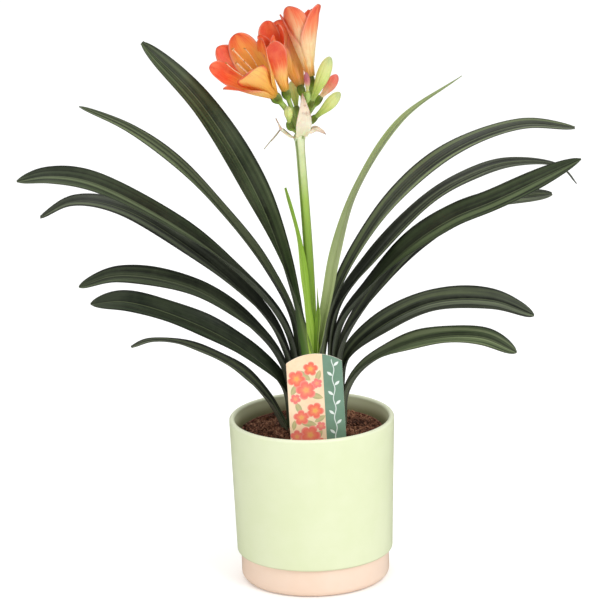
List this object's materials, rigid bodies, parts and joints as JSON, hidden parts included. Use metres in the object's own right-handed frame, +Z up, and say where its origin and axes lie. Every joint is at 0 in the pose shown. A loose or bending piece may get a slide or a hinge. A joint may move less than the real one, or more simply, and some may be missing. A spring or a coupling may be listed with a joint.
{
  "type": "potted clivia",
  "caption": "Flowering clivia house plant: a fan of arching strap leaves and a stalk of orange blooms, in a grower pot inside a glazed cover pot.",
  "frame": {"origin": "centre of the cover pot's flat underside, on the surface it stands on", "axes": "+Z up along the pot's axis; the leaves fan out along X; -Y is the front, where the plant label stands"},
  "size_m": [0.503, 0.15, 0.5299],
  "materials": {
    "pot_glaze": "pale green satin glaze over a pale pink foot",
    "nursery_plastic": "matte terracotta-brown moulded plastic",
    "potting_soil": "rough dark potting mix with bark chips",
    "leaf_base": "pale waxy leaf bases",
    "label_card": null,
    "leaf_mature": "dark green waxy leaf, satin gloss",
    "leaf_young": "bright green waxy young leaf",
    "flower_stem": "smooth light green fleshy stem",
    "petal": "soft coral-orange petal, yellow at the throat",
    "stamen": "pale filament with a powdery yellow anther",
    "bud_green": "smooth waxy green bud",
    "bud_coral": "smooth coral bud",
    "bract_papery": "dry papery bract with a brown margin"
  },
  "bodies": {
    "root": {"cover_pot": "pot_glaze", "grower_pot": "nursery_plastic", "soil": "potting_soil", "crown": "leaf_base", "plant_label": "label_card", "leaf_left_1": "leaf_mature", "leaf_left_2": "leaf_mature", "leaf_left_3": "leaf_mature", "leaf_left_4": "leaf_mature", "leaf_left_5": "leaf_mature", "leaf_left_6": "leaf_mature", "leaf_left_7": "leaf_mature", "leaf_right_1": "leaf_mature", "leaf_right_2": "leaf_mature", "leaf_right_3": "leaf_mature", "leaf_right_4": "leaf_mature", "leaf_right_5": "leaf_mature", "leaf_right_6": "leaf_mature", "leaf_young_left": "leaf_young", "leaf_young_right": "leaf_young", "leaf_young_short": "leaf_young", "flower_stalk": "flower_stem", "bloom_1_petals": "petal", "bloom_1_stamens": "stamen", "bloom_2_petals": "petal", "bloom_2_stamens": "stamen", "bloom_3_petals": "petal", "bloom_3_stamens": "stamen", "bloom_4_petals": "petal", "bloom_4_stamens": "stamen", "bud_large": "bud_green", "bud_coral": "bud_coral", "bud_low_right": "bud_green", "bud_pink": "bud_coral", "bud_low_left": "bud_green", "bud_back": "bud_green", "bract_front": "bract_papery", "bract_right": "bract_papery", "bract_left": "bract_papery", "bract_back": "bract_papery", "bract_thread": "bract_papery"}
  },
  "joints": []
}
